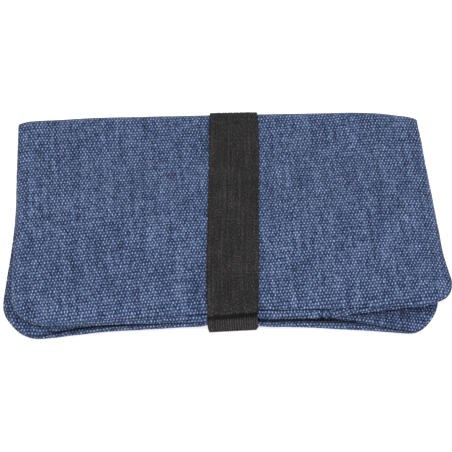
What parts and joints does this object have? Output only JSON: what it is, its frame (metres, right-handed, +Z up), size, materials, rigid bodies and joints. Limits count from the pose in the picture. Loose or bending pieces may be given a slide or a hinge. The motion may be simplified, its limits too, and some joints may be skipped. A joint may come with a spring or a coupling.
{
  "type": "brush roll case",
  "caption": "Folding padded canvas case for paint brushes, with inner pockets, a brush guard flap and an elastic closing band.",
  "frame": {"origin": "bottom centre of the closed case's bounding box, on the surface it lies on", "axes": "+X along the case's width, parallel to the fold; +Y towards the fold, so the free edges and the band's lip face -Y; +Z up, from the base panel to the cover"},
  "size_m": [0.2164, 0.1372, 0.0145],
  "materials": {
    "denim_canvas": "coarse navy and pale blue weave, matte",
    "denim_lining": "the same weave, a little darker, matte",
    "wadding": "undyed needled wadding",
    "black_elastic": "ribbed woven elastic, matte black",
    "binding_tape": "folded navy tape, matte",
    "hook_and_loop": "thin black hook and loop tape",
    "navy_thread": "navy sewing thread",
    "black_thread": "black sewing thread"
  },
  "bodies": {
    "base": {"base_outer": "denim_canvas", "base_interlining": "wadding", "base_lining": "denim_lining", "base_pocket_panel": "denim_lining", "base_pocket_binding": "binding_tape", "base_pocket_stitching": "navy_thread", "band_lower_run": "black_elastic"},
    "spine": {"spine_outer": "denim_canvas", "spine_interlining": "wadding", "spine_lining": "denim_lining", "band_spine_run": "black_elastic", "band_anchor_stitching": "black_thread"},
    "cover": {"cover_outer": "denim_canvas", "cover_interlining": "wadding", "cover_lining": "denim_lining", "cover_pocket_panel": "denim_lining", "cover_pocket_binding": "binding_tape", "cover_pocket_stitching": "navy_thread", "band_cover_run": "black_elastic"},
    "strap": {"strap_upper_run": "black_elastic", "strap_end_hem": "black_elastic", "strap_hem_stitching": "black_thread", "hook_tape": "hook_and_loop"},
    "tail": {"elastic_tail": "black_elastic", "loop_tape": "hook_and_loop"},
    "flap": {"guard_flap": "denim_lining", "flap_binding": "binding_tape"}
  },
  "joints": [
    {"name": "spine_fold", "type": "hinge", "parent": "base", "child": "spine", "pos_m": [0, 0.06725, 0.00133], "axis": [-1, 0, 0], "range_deg": [0, 90]},
    {"name": "cover_fold", "type": "hinge", "parent": "spine", "child": "cover", "pos_m": [0, 0.06485, 0.01102], "axis": [-1, 0, 0], "range_deg": [0, 90]},
    {"name": "strap_lift", "type": "hinge", "parent": "cover", "child": "strap", "pos_m": [0.007, 0.05835, 0.01365], "axis": [-1, 0, 0], "range_deg": [0, 170]},
    {"name": "tail_drop", "type": "hinge", "parent": "base", "child": "tail", "pos_m": [0.007, -0.0643, 0.0009], "axis": [1, 0, 0], "range_deg": [0, 80]},
    {"name": "flap_fold", "type": "hinge", "parent": "base", "child": "flap", "pos_m": [0.1035, 0, 0.0039], "axis": [0, 1, 0], "range_deg": [0, 175], "deforming": ["guard_flap", "flap_binding"]}
  ],
  "couplings": [
    {"joint": "cover_fold", "follows": "spine_fold", "ratio": 1},
    {"joint": "tail_drop", "follows": "strap_lift", "ratio": 0.47}
  ]
}
